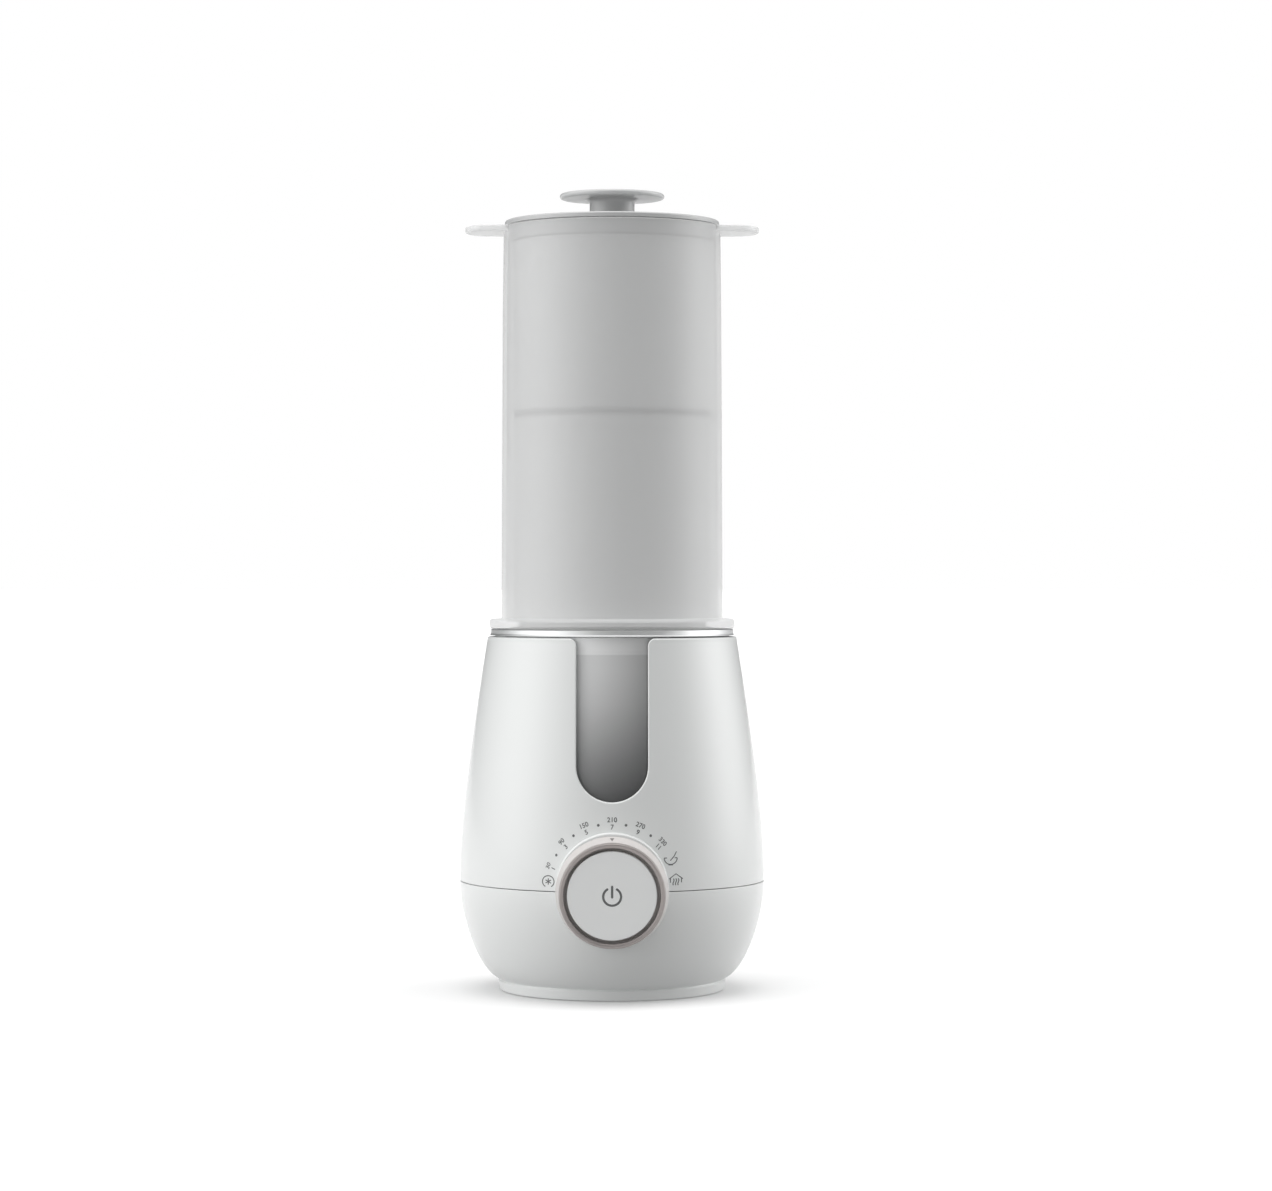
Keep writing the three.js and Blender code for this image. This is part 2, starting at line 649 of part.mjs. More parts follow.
const UPPER_FLOOR_Z = TIER_Z - 5.5; // its foot plugs into the lower basket's rim
const UPPER_TOP_Z = 346.6;
const upperBasket = turned(
  [
    [0, UPPER_FLOOR_Z],
    [BASKET_R - 2.3, UPPER_FLOOR_Z],
    [BASKET_R - 2.3, TIER_Z],
    [BASKET_R, TIER_Z],
    [BASKET_R, UPPER_TOP_Z],
    [BASKET_R - 1.6, UPPER_TOP_Z],
    [BASKET_R - 1.6, TIER_Z + 2],
    [BASKET_R - 3.9, TIER_Z],
    [BASKET_R - 3.9, UPPER_FLOOR_Z + 1.8],
    [0, UPPER_FLOOR_Z + 1.8],
  ],
  ROUND,
).subtract(steamHoles(UPPER_FLOOR_Z - 2, UPPER_FLOOR_Z + 4));
piece("upper_basket", upperBasket, GREY_CLEAR);

// ---- lid and its knob ----------------------------------------------------------------------------
const LID_Z = TOWER_TOP_Z + GAP;
const LID_TOP_Z = 356.1;
const SOCKET_R = 7.2; // the knob's foot plugs into this hole
const lidOutline = [
  [SOCKET_R, LID_Z + 1.6],
  [45, LID_Z],
  [45, 347.3],
  [46.8, 347.3],
  [47, LID_Z],
  [LID_R, LID_Z],
  [LID_R, LID_TOP_Z - 0.7],
  [LID_R - 0.8, LID_TOP_Z],
  [30, LID_TOP_Z + 1],
  [SOCKET_R, LID_TOP_Z + 1.5],
];
let lid = turned(lidOutline, ROUND);
for (const angle of [45, 135, 225, 315]) {
  lid = lid.subtract(moved(disc(1.8, 350, 360, 8), ...around(20, angle), 0));
}
piece("lid", lid, GREY);

const STEM_R = 10.4;
const KNOB_Z = 366.5;
const STEM_Z = LID_TOP_Z + 1.5 + GAP;
const knobTurn = [
  [0, 353.9],
  [SOCKET_R - GAP, 353.9],
  [SOCKET_R - GAP, STEM_Z],
  [STEM_R, STEM_Z],
  [STEM_R, KNOB_Z - 2],
  [STEM_R + 2.4, KNOB_Z],
  [KNOB_R - 1.2, KNOB_Z],
  [KNOB_R, KNOB_Z + 1.2],
  [KNOB_R - 0.6, TOTAL_Z - 1],
  [KNOB_R - 3, TOTAL_Z - 0.3],
  [0, TOTAL_Z],
];
piece("lid_knob", turned(knobTurn, SMALL_ROUND), GREY);

export default warmer;
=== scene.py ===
"""A baby-bottle warmer with a steam steriliser tower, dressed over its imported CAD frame.

A pear-shaped white base holds a smoke-tinted warming chamber behind a U-shaped slot, and a dial
with a push button. A frosted grey tower with two baskets and a knobbed lid stands on the base.
Outlines are in millimetres, as (radius, height) or (radius, height, fillet), and so are the
named sizes. Blender's own places are in metres.
"""

import json
import math

import bmesh
import bpy
import numpy as np
from mathutils import Matrix, Vector
from mathutils.geometry import interpolate_bezier


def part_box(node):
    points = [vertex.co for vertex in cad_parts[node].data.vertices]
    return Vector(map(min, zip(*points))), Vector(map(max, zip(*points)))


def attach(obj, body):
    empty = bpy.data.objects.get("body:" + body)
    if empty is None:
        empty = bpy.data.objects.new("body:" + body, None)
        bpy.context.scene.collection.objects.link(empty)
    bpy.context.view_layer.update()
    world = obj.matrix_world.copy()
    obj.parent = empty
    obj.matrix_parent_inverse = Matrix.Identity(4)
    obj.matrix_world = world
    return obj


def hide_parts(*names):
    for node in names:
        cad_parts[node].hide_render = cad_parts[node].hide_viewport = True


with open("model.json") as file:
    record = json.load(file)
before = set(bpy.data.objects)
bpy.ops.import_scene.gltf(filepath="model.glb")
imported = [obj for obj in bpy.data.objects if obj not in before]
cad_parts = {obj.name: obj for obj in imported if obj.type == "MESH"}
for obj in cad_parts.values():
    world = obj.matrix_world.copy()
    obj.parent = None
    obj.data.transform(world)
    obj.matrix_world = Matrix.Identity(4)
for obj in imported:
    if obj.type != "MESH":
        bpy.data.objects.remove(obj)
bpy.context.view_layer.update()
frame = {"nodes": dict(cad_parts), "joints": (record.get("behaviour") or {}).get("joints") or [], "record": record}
joints = {joint["name"]: joint for joint in frame["joints"]}
MM = 0.001

# ---- camera ------------------------------------------------------------------------------------
# A long lens at the height of the tower's lower half, square to the front.
camera = bpy.data.objects.new("camera", bpy.data.cameras.new("camera"))
bpy.context.scene.collection.objects.link(camera)
bpy.context.scene.camera = camera
camera.data.lens = 100.6
camera.data.sensor_width = 36
camera.location = (0, -1.651, 0.193)
aim = Vector((0.0111, 0, 0.1827)) - camera.location
camera.rotation_euler = aim.to_track_quat("-Z", "Y").to_euler()

# ---- studio ------------------------------------------------------------------------------------
# A white sweep under a large overhead light, with a soft wall of light on each side and little
# from the front. The world's light comes from the direction alone, so the floor is lit evenly
# however far it runs.
bpy.context.scene.view_settings.view_transform = "Standard"
world = bpy.data.worlds.new("studio")
bpy.context.scene.world = world
world.use_nodes = True
nodes = world.node_tree.nodes
links = world.node_tree.links
direction = nodes.new("ShaderNodeTexCoord").outputs["Generated"]


def light_from(towards, brightness, tightness):
    """A soft patch of light around one direction, as a node's output."""
    facing = nodes.new("ShaderNodeVectorMath")
    facing.operation = "DOT_PRODUCT"
    links.new(direction, facing.inputs[0])
    facing.inputs[1].default_value = Vector(towards).normalized()
    level = facing.outputs["Value"]
    for operation, value in (("MAXIMUM", 0), ("POWER", tightness), ("MULTIPLY", brightness)):
        step = nodes.new("ShaderNodeMath")
        step.operation = operation
        links.new(level, step.inputs[0])
        step.inputs[1].default_value = value
        level = step.outputs[0]
    return level


# Each light has the direction it comes from, its brightness, and how tight its patch is.
LIGHTS = (
    ((0, 0, 1), 3.5, 6),
    ((-1, -0.28, 0.25), 2.65, 6),
    ((1, 0.18, 0.25), 3.3, 8),
    ((-0.7, -1, 0.2), 0.42, 9),
    ((0, 0, -1), 0.35, 0.5),
)
LIGHT_ALL_ROUND = 0.1
WHITE = (1, 1, 1, 1)
total = nodes.new("ShaderNodeValue").outputs[0]
total.default_value = LIGHT_ALL_ROUND
for towards, brightness, tightness in LIGHTS:
    add = nodes.new("ShaderNodeMath")
    links.new(total, add.inputs[0])
    links.new(light_from(towards, brightness, tightness), add.inputs[1])
    total = add.outputs[0]
lit = nodes["Background"]
links.new(total, lit.inputs["Strength"])
lit.inputs["Color"].default_value = WHITE
seen = nodes.new("ShaderNodeBackground")
seen.inputs["Color"].default_value = WHITE
rays = nodes.new("ShaderNodeLightPath")
either = nodes.new("ShaderNodeMixShader")
links.new(rays.outputs["Is Camera Ray"], either.inputs["Fac"])
links.new(lit.outputs[0], either.inputs[1])
links.new(seen.outputs[0], either.inputs[2])
links.new(either.outputs[0], nodes["World Output"].inputs["Surface"])

NOISE_LOW = 0.1
NOISE_HIGH = 0.9
TONE_SCALE = 18
GLOSS_SCALE = 60
GRAIN_DEPTH = 0.0004


def noise(tree, scale, detail=1):
    """A noise texture in the object's own coordinates."""
    place = tree.nodes.new("ShaderNodeTexCoord")
    cloud = tree.nodes.new("ShaderNodeTexNoise")
    cloud.inputs["Scale"].default_value = scale
    cloud.inputs["Detail"].default_value = detail
    tree.links.new(place.outputs["Object"], cloud.inputs["Vector"])
    return cloud


def spread(tree, source, low, high):
    """The noise's range as a value from low to high."""
    stretch = tree.nodes.new("ShaderNodeMapRange")
    stretch.inputs["From Min"].default_value = NOISE_LOW
    stretch.inputs["From Max"].default_value = NOISE_HIGH
    stretch.inputs["To Min"].default_value = low
    stretch.inputs["To Max"].default_value = high
    tree.links.new(source, stretch.inputs["Value"])
    return stretch.outputs["Result"]


def material(name, colour, roughness, drift=0.02, grain=0.012, grain_scale=2200, **settings):
    """A moulded or metal surface: its tone and gloss drift a little, and it has a fine grain.

    colour is None where the colour comes from nodes that are linked afterwards.
    """
    made = bpy.data.materials.new(name)
    made.use_nodes = True
    tree = made.node_tree
    shader = tree.nodes["Principled BSDF"]
    for socket, value in settings.items():
        shader.inputs[socket.replace("_", " ")].default_value = value
    if colour:
        tone = tree.nodes.new("ShaderNodeMix")
        tone.data_type = "RGBA"
        tone.inputs["A"].default_value = (*[c * (1 - drift) for c in colour], 1)
        tone.inputs["B"].default_value = (*[min(c * (1 + drift), 1) for c in colour], 1)
        drifting = spread(tree, noise(tree, TONE_SCALE).outputs["Fac"], 0, 1)
        tree.links.new(drifting, tone.inputs["Factor"])
        tree.links.new(tone.outputs["Result"], shader.inputs["Base Color"])
    gloss = spread(tree, noise(tree, GLOSS_SCALE).outputs["Fac"], roughness * 0.9, roughness * 1.1)
    tree.links.new(gloss, shader.inputs["Roughness"])
    bump = tree.nodes.new("ShaderNodeBump")
    bump.inputs["Strength"].default_value = grain
    bump.inputs["Distance"].default_value = GRAIN_DEPTH
    tree.links.new(noise(tree, grain_scale, detail=2).outputs["Fac"], bump.inputs["Height"])
    tree.links.new(bump.outputs["Normal"], shader.inputs["Normal"])
    return made


FLOOR_HALF = 40
mesh = bpy.data.meshes.new("floor")
corners = [(x * FLOOR_HALF, y * FLOOR_HALF, 0) for x, y in ((-1, -1), (1, -1), (1, 1), (-1, 1))]
mesh.from_pydata(corners, [], [(0, 1, 2, 3)])
floor = bpy.data.objects.new("floor", mesh)
bpy.context.scene.collection.objects.link(floor)
mesh.materials.append(material("sweep", (0.9, 0.9, 0.9), 0.8, drift=0.005, grain=0))
floor.visible_diffuse = False

# ---- base: the two white shells ----------------------------------------------------------------
# Injection-moulded white ABS, polished, 2.5 mm thick. The halves snap together at a fine seam,
# and the upper one has the slot, with a softly rounded rim, and each has half of the flat round
# seat that the dial turns on.
WALL = 2.5
lower_low, lower_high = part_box("lower_housing")
upper_low, upper_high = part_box("upper_housing")
BODY_R = upper_high.x / MM
SEAM = upper_low.z / MM
TOP = upper_high.z / MM
TOP_R = 57.6
LOWER_TOP = SEAM - 0.3  # the seam's fine groove is between the two halves
# The two walls are one curve each, as its two ends and the two handles between them.
UPPER_WALL = ((BODY_R, SEAM), (BODY_R, SEAM + 33.9), (61.3, 140), (TOP_R + 0.2, TOP - 1))
LOWER_WALL = ((52.6, 5.7), (63.5, 10.5), (BODY_R, SEAM - 14.5), (BODY_R, LOWER_TOP))


def filleted(corners, steps=5):
    """An outline of (radius, height, fillet) corners, with its fillets as arcs."""
    points = []
    for index, (r, z, fillet) in enumerate(corners):
        here = Vector((r, z))
        if not fillet:
            points.append(here)
            continue
        back = (Vector(corners[index - 1][:2]) - here).normalized()
        onward = (Vector(corners[(index + 1) % len(corners)][:2]) - here).normalized()
        half_angle = back.angle(onward) / 2
        reach = fillet / math.tan(half_angle)
        centre = here + (back + onward).normalized() * fillet / math.sin(half_angle)
        start = here + back * reach - centre
        end = here + onward * reach - centre
        for step in range(steps + 1):
            points.append(centre + start.lerp(end, step / steps).normalized() * fillet)
    return points


def curve_points(ends, steps, inset=0):
    """Points along one wall's curve, moved inwards by inset, as outline corners with no fillet."""
    line = interpolate_bezier(*[Vector((r, z, 0)) for r, z in ends], steps)
    return [(point.x - inset, point.y, 0) for point in line]


def turned(name, outline, around=192, place=None):
    """A mesh object made by turning an outline, anticlockwise from below, about the upright axis."""
    made = bmesh.new()
    rings = []
    for point in outline:
        r, z = point[0], point[1]
        if r < 1e-6:
            rings.append([made.verts.new((0, 0, z * MM))] * around)
            continue
        ring = []
        for step in range(around):
            angle = 2 * math.pi * step / around
            ring.append(made.verts.new(Vector((r * math.cos(angle), r * math.sin(angle), z)) * MM))
        rings.append(ring)
    for ring, after in zip(rings, rings[1:] + rings[:1]):
        for step in range(around):
            onward = (step + 1) % around
            corners = []
            for vertex in (ring[step], ring[onward], after[onward], after[step]):
                if vertex not in corners:
                    corners.append(vertex)
            if len(corners) > 2:
                made.faces.new(corners)
    return mesh_object(name, made, place)


def mesh_object(name, made, place=None):
    """The bmesh as a smooth-shaded object, moved by place."""
    mesh = bpy.data.meshes.new(name)
    bmesh.ops.recalc_face_normals(made, faces=made.faces)
    made.to_mesh(mesh)
    made.free()
    if place:
        mesh.transform(place)
    mesh.shade_smooth()
    thing = bpy.data.objects.new(name, mesh)
    bpy.context.scene.collection.objects.link(thing)
    return thing


def joined(thing, tool, operation):
    """thing joined with or cut by tool, which is used up."""
    step = thing.modifiers.new("step", "BOOLEAN")
    step.operation = operation
    step.solver = "EXACT"
    step.object = tool
    bpy.context.view_layer.update()
    result = bpy.data.meshes.new_from_object(thing.evaluated_get(bpy.context.evaluated_depsgraph_get()))
    thing.modifiers.clear()
    thing.data = result
    bpy.data.objects.remove(tool)
    return thing


SHARP = math.radians(38)


def finished(thing, surface, body, cad_nodes):
    """Flat faces shade flat and edges shade round, then the piece takes its material and its place."""
    thing.data.materials.clear()
    thing.data.materials.append(surface)
    thing.data.shade_smooth()
    thing.data.set_sharp_from_angle(angle=SHARP)
    weighted = thing.modifiers.new("edges", "WEIGHTED_NORMAL")
    weighted.keep_sharp = True
    weighted.weight = 80
    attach(thing, body)
    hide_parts(*cad_nodes)


dense = [(z, r) for r, z, _ in curve_points(LOWER_WALL, 200) + curve_points(UPPER_WALL, 400)]
WALL_Z, WALL_R = (np.array(column) for column in zip(*sorted(dense)))
OFF_CURVE = 0.03  # further than this from the curve, a face isn't part of the outer wall
SLOPE_STEP = 0.4


def wall_radius(z):
    """The base's outer radius at a height, both in millimetres."""
    return float(np.interp(z, WALL_Z, WALL_R))


def on_wall(x, z, out=0):
    """The point of the base's front at x and z in millimetres, stood off by out."""
    r = wall_radius(z) + out
    return Vector((x, -math.sqrt(r * r - x * x), z)) * MM


def true_normals(thing):
    """Gives the outer wall the normals of its own curve, which the cuts would otherwise disturb."""
    mesh = thing.data
    mesh.shade_smooth()
    mesh.set_sharp_from_angle(angle=SHARP)
    normals = [corner.vector.copy() for corner in mesh.corner_normals]
    for face in mesh.polygons:
        corners = [mesh.vertices[index].co / MM for index in face.vertices]
        if any(abs(math.hypot(c.x, c.y) - wall_radius(c.z)) > OFF_CURVE for c in corners):
            continue
        for loop, place in zip(face.loop_indices, corners):
            out = math.hypot(place.x, place.y)
            rise = wall_radius(place.z + SLOPE_STEP) - wall_radius(place.z - SLOPE_STEP)
            slope = rise / (2 * SLOPE_STEP)
            normals[loop] = Vector((place.x / out, place.y / out, -slope)).normalized()
    mesh.normals_split_custom_set(normals)


# The dial's own frame has its Z along the dial's axis, out of the front, from the flat seat.
turn = joints["dial_turn"]
LEAN = math.asin(turn["axis"][2])
dial_frame = Matrix.Translation(turn["pos_m"]) @ Matrix.Rotation(math.pi / 2 + LEAN, 4, "X")
SEAT_R = 25.2
SEAT_RISE = 1.4  # the boss reaches a little higher than the dial
SEAT_BACK = -7
HOLE_R = 21.3
HOLE_BACK = -14
HOLE_FRONT = 4


def rod(name, r, z0, z1, around, place=None):
    """A plain round rod between two heights, to cut a hole with."""
    return turned(name, [(0, z0), (r, z0), (r, z1), (0, z1)], around, place)


def dial_seat():
    """The boss under the dial."""
    raised = dial_frame @ Matrix.Translation((0, SEAT_RISE * MM, 0))
    outline = [(0, SEAT_BACK, 0), (SEAT_R, SEAT_BACK, 0), (SEAT_R, 0, 0.7), (0, 0, 0)]
    return turned("seat", filleted(outline), 128, raised)


def dial_hole():
    """The hole for the dial's hub."""
    return rod("hole", HOLE_R, HOLE_BACK, HOLE_FRONT, 128, dial_frame)


def slab(z0, z1):
    """All the room in front of the axis between two heights."""
    made = bmesh.new()
    bmesh.ops.create_cube(made, size=1)
    bmesh.ops.scale(made, vec=(0.2, 0.1, (z1 - z0) * MM), verts=made.verts)
    bmesh.ops.translate(made, vec=(0, -0.095, (z0 + z1) / 2 * MM), verts=made.verts)
    return mesh_object("slab", made)


SLOT_HALF = 16.1
SLOT_CENTRE = 106.9
SLOT_CORNER = 3.3
CORNER_TURN = 72  # how many degrees round the slot's upper corners go
RIM = 0.8
CUT_Y = -0.04  # the slot's cutter ends behind the wall, in metres


def slot_outline(grow):
    """The slot's edge from the front, grown by grow, from the upper right to the upper left."""
    half = []
    corner = SLOT_CORNER - grow
    for step in range(7):
        angle = math.radians(CORNER_TURN * (1 - step / 6))
        x = SLOT_HALF + SLOT_CORNER - corner * math.cos(angle)
        half.append((x, TOP - SLOT_CORNER + corner * math.sin(angle)))
    half.insert(0, (half[0][0] + 0.5, TOP + 1.2))
    corner_end = half[-1][1]
    r = SLOT_HALF + grow
    for step in range(1, 9):
        half.append((r, corner_end + (SLOT_CENTRE - corner_end) * step / 9))
    for step in range(24):
        angle = math.pi / 2 * step / 24
        half.append((r * math.cos(angle), SLOT_CENTRE - r * math.sin(angle)))
    foot = [(0, SLOT_CENTRE - SLOT_HALF - grow)]
    return half + foot + [(-x, z) for x, z in reversed(half)]


def closed_stack(name, made, rings):
    """A mesh object from rings of vertices laid one over the next, with its two ends closed."""
    for ring, after in zip(rings, rings[1:]):
        for index in range(len(ring)):
            onward = (index + 1) % len(ring)
            made.faces.new((ring[index], ring[onward], after[onward], after[index]))
    made.faces.new(rings[0])
    made.faces.new(rings[-1])
    return mesh_object(name, made)


def slot_cutter():
    """What the slot takes away: straight through the wall, with a round rim at the surface."""
    made = bmesh.new()
    layers = [(RIM, 6), (RIM, 0.05)]
    for step in range(7):
        angle = math.pi / 2 * step / 6
        layers.append((RIM * (1 - math.sin(angle)), -RIM * (1 - math.cos(angle))))
    rings = []
    for grow, out in layers:
        rings.append([made.verts.new(on_wall(x, z, out)) for x, z in slot_outline(grow)])
    rings.append([made.verts.new((x * MM, CUT_Y, z * MM)) for x, z in slot_outline(0)])
    return closed_stack("cutter", made, rings)


white = material(
    "white_gloss", (0.795, 0.81, 0.803), 0.3, drift=0.008, Coat_Weight=0.35, Coat_Roughness=0.12
)
REBATE_R = BODY_R - 1.1  # the upper half's edge is cut back inside, and the lower half's lip goes behind it
LIP_R = BODY_R - 1.4
LIP_TOP = SEAM + 2.8
upper = turned(
    "upper_housing_shell",
    filleted(
        [
            (REBATE_R, SEAM, 0),
            (BODY_R, SEAM, 0.3),
            *curve_points(UPPER_WALL, 60)[1:-1],
            (TOP_R + 0.1, TOP, 0.9),
            (TOP_R - WALL + 0.2, TOP, 0.3),
            *curve_points(UPPER_WALL, 14, WALL)[-2:1:-1],
            (BODY_R - WALL, SEAM + 3.6, 0),
            (REBATE_R, SEAM + 3.4, 0),
        ]
    ),
    256,
)
upper = joined(upper, dial_seat(), "UNION")
upper = joined(upper, slab(0, SEAM), "DIFFERENCE")
upper = joined(upper, dial_hole(), "DIFFERENCE")
upper = joined(upper, slot_cutter(), "DIFFERENCE")
true_normals(upper)
upper.data.materials.append(white)
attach(upper, "base")
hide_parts("upper_housing")

FOOT_Z = lower_low.z / MM
COVER_EDGE = 49.3
COVER_STOP_R = 48  # the cover lies against a step inside the foot
COVER_STOP_Z = 3.3
lower = turned(
    "lower_housing_shell",
    filleted(
        [
            (COVER_EDGE, FOOT_Z, 0.2),
            (52, FOOT_Z, 0.6),
            (52.8, 4.7, 0.5),
            (52.4, 5.4, 0.3),
            *curve_points(LOWER_WALL, 44)[:-1],
            (BODY_R, LOWER_TOP, 0.3),
            (LIP_R, LOWER_TOP, 0),
            (LIP_R, LIP_TOP, 0.2),
            (BODY_R - WALL, LIP_TOP, 0.2),
            *curve_points(LOWER_WALL, 14, WALL)[::-1],
            (COVER_STOP_R, 5.3, 0),
            (COVER_STOP_R, COVER_STOP_Z, 0),
            (COVER_EDGE, COVER_STOP_Z, 0),
        ]
    ),
    256,
)
lower = joined(lower, slab(LOWER_TOP, SEAM + 5), "DIFFERENCE")  # the lip stops short of the dial's seat
lower = joined(lower, dial_seat(), "UNION")
lower = joined(lower, slab(LOWER_TOP, SEAM + 40), "DIFFERENCE")
lower = joined(lower, dial_hole(), "DIFFERENCE")
inlet_z = sum(corner.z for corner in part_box("cord_inlet")) / 2
inlet_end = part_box("cord_inlet")[1].y / MM
along_y = Matrix.Translation((0, 0, inlet_z)) @ Matrix.Rotation(-math.pi / 2, 4, "X")
BOSS_R = 9
BOSS_BACK = 54.8
BOSS_FACE = inlet_end - 2.6
BORE_R = 6.3
boss = [(0, BOSS_BACK, 0), (BOSS_R, BOSS_BACK, 0), (BOSS_R, BOSS_FACE, 0.6), (0, BOSS_FACE, 0)]
lower = joined(lower, turned("boss", filleted(boss), 96, along_y), "UNION")
# One stepped cut bores the boss and clears whatever of the wall stands in front of its face.
bore = [(0, 45), (BORE_R, 45), (BORE_R, BOSS_FACE), (9.3, BOSS_FACE), (9.3, 90), (0, 90)]
lower = joined(lower, turned("bore", bore, 96, along_y), "DIFFERENCE")
true_normals(lower)
lower.data.materials.append(white)
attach(lower, "base")
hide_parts("lower_housing")

# ---- base: bottom cover, feet and screws -------------------------------------------------------
# The cover is a flat moulded disc that fits inside the foot of the lower shell. Four rubber pads
# are glued into it, and three screws with cross heads hold it, sunk in their wells.
cover_low, cover_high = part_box("bottom_cover")
COVER_R = cover_high.x / MM
COVER_Z = cover_low.z / MM
COVER_TOP = cover_high.z / MM
GROOVE_R = 38
PAD_R = 6
PAD_TOP = 1.4
GAP = 0.3  # all round and behind each pad


def upright(x, y):
    """The place of a turned piece whose axis stands at x and y in millimetres."""
    return Matrix.Translation((x * MM, y * MM, 0))


def middle(node):
    """The middle of a node's box, in millimetres."""
    low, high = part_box(node)
    return (low + high) / 2 / MM


cover = turned(
    "bottom_cover_disc",
    filleted(
        [
            (0, COVER_Z, 0),
            (GROOVE_R, COVER_Z, 0),
            (GROOVE_R, COVER_Z + 0.3, 0),
            (GROOVE_R + 0.6, COVER_Z + 0.3, 0),
            (GROOVE_R + 0.6, COVER_Z, 0),
            (COVER_R, COVER_Z, 0.5),
            (COVER_R, COVER_TOP, 0.2),
            (0, COVER_TOP, 0),
        ]
    ),
    256,
)
black_rubber = material("black_rubber", (0.035, 0.035, 0.036), 0.75, drift=0.1, grain=0.2)
steel = material("screw_steel", (0.56, 0.55, 0.53), 0.32, grain=0.05, grain_scale=900, Metallic=1)
groove = ((0, 0), (0, 0.25), (0.5, 0.25), (0.5, 0))
tread = [(r + across, z, 0.15) for r in (1.4, 2.8, 4.2) for across, z in groove]
for index in range(1, 5):
    foot = f"foot_{index}"
    at = middle(foot)
    well = rod("well", PAD_R + GAP, 0, PAD_TOP + GAP, 48, upright(at.x, at.y))
    cover = joined(cover, well, "DIFFERENCE")
    outline = [(0, 0, 0), *tread, (PAD_R, 0, 0.4), (PAD_R, PAD_TOP, 0.2), (0, PAD_TOP, 0)]
    pad = turned(foot + "_pad", filleted(outline, 3), 48, upright(at.x, at.y))
    finished(pad, black_rubber, "base", [foot])


HEAD_Z = 0.9
HEAD_R = 3
HEAD_TOP = HEAD_Z + 0.8
SHANK_R = 1.2
SCREW_END = HEAD_Z + 13
CROSS_LONG = 2.6
CROSS_WIDE = 0.55
CROSS_DEEP = 0.8


def cross_screw(node, at):
    """A pan-head screw standing on its head, with a cross cut into it."""
    outline = [
        (0, HEAD_Z, 0),
        (HEAD_R, HEAD_Z, 0.45),
        (HEAD_R, HEAD_TOP, 0.1),
        (SHANK_R, HEAD_TOP, 0),
        (SHANK_R, SCREW_END - 1.5, 0),
        (0, SCREW_END, 0),
    ]
    made = turned(node + "_steel", filleted(outline, 4), 40, upright(at.x, at.y))
    for x_long, y_long in ((CROSS_LONG, CROSS_WIDE), (CROSS_WIDE, CROSS_LONG)):
        cross = bmesh.new()
        bmesh.ops.create_cube(cross, size=1)
        bmesh.ops.scale(cross, vec=(x_long * MM, y_long * MM, CROSS_DEEP * MM), verts=cross.verts)
        bmesh.ops.translate(cross, vec=(at.x * MM, at.y * MM, HEAD_Z * MM), verts=cross.verts)
        made = joined(made, mesh_object("cross", cross), "DIFFERENCE")
    finished(made, steel, "base", [node])


for index in range(1, 4):
    node = f"cover_screw_{index}"
    at = middle(node)
    for r, top in ((3.4, 2), (1.9, 5)):
        cover = joined(cover, rod("well", r, 0, top, 48, upright(at.x, at.y)), "DIFFERENCE")
    cross_screw(node, at)
finished(cover, white, "base", ["bottom_cover"])

# ---- base: cord inlet --------------------------------------------------------------------------
# A soft moulded gland, pressed through the flat boss at the back, with a rounded collar.
CORD_HOLE_R = 4
NECK_R = 5.9
COLLAR_Z = inlet_end - 2.3
gland = turned(
    "cord_gland",
    filleted(
        [
            (CORD_HOLE_R, 52, 0.5),
            (8, 52, 0.4),
            (8, 54.5, 0.4),
            (NECK_R, 54.5, 0),
            (NECK_R, COLLAR_Z, 0),
            (7.4, COLLAR_Z, 0.3),
            (6.9, inlet_end, 1),
            (CORD_HOLE_R, inlet_end, 0.7),
        ]
    ),
    96,
    along_y,
)
gland_rubber = material("gland_rubber", (0.5, 0.51, 0.5), 0.6, grain=0.1)
finished(gland, gland_rubber, "base", ["cord_inlet"])

# ---- base: trim ring and warming chamber -------------------------------------------------------
# The ring is plated and satin, turned fine round its edge. The chamber is one tinted clear moulding that holds the
# water and the bottle. It is glossy, and dark with painted shade towards the bottom, with a painted highlight
# higher up and a frosted collar that flares out under the ring.
RING_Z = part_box("trim_ring")[0].z / MM
RING_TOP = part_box("trim_ring")[1].z / MM
RING_BORE_R = 53.2
ring = turned(
    "trim_ring_band",
    filleted(
        [
            (RING_BORE_R, RING_Z, 0.2),
            (56.7, RING_Z, 0.15),
            (56.2, RING_Z + 0.9, 0.3),
            (56.1, RING_TOP, 0.5),
            (RING_BORE_R, RING_TOP, 0.3),
        ]
    ),
    256,
)
satin = material("ring_satin", (0.66, 0.67, 0.67), 0.34, grain=0.08, grain_scale=700, Metallic=0.85)
finished(ring, satin, "base", ["trim_ring"])

FLOOR_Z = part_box("warming_chamber")[0].z / MM
COLLAR_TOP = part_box("warming_chamber")[1].z / MM
CHAMBER_INSET = WALL + 2
CHAMBER_WALL = 2
CHAMBER_FLOOR = 2.4
PLATE_HOLE_R = 42
COLLAR_R = 54.4
COLLAR_FOOT = 158
BARREL_LOW = 86
BARREL_HIGH = 153


def chamber_sides(inset):
    """The barrel of the chamber: it keeps the same distance from the housing's wall all the way up."""
    points = curve_points(UPPER_WALL, 40, inset)
    return [point for point in points if BARREL_LOW < point[1] < BARREL_HIGH]


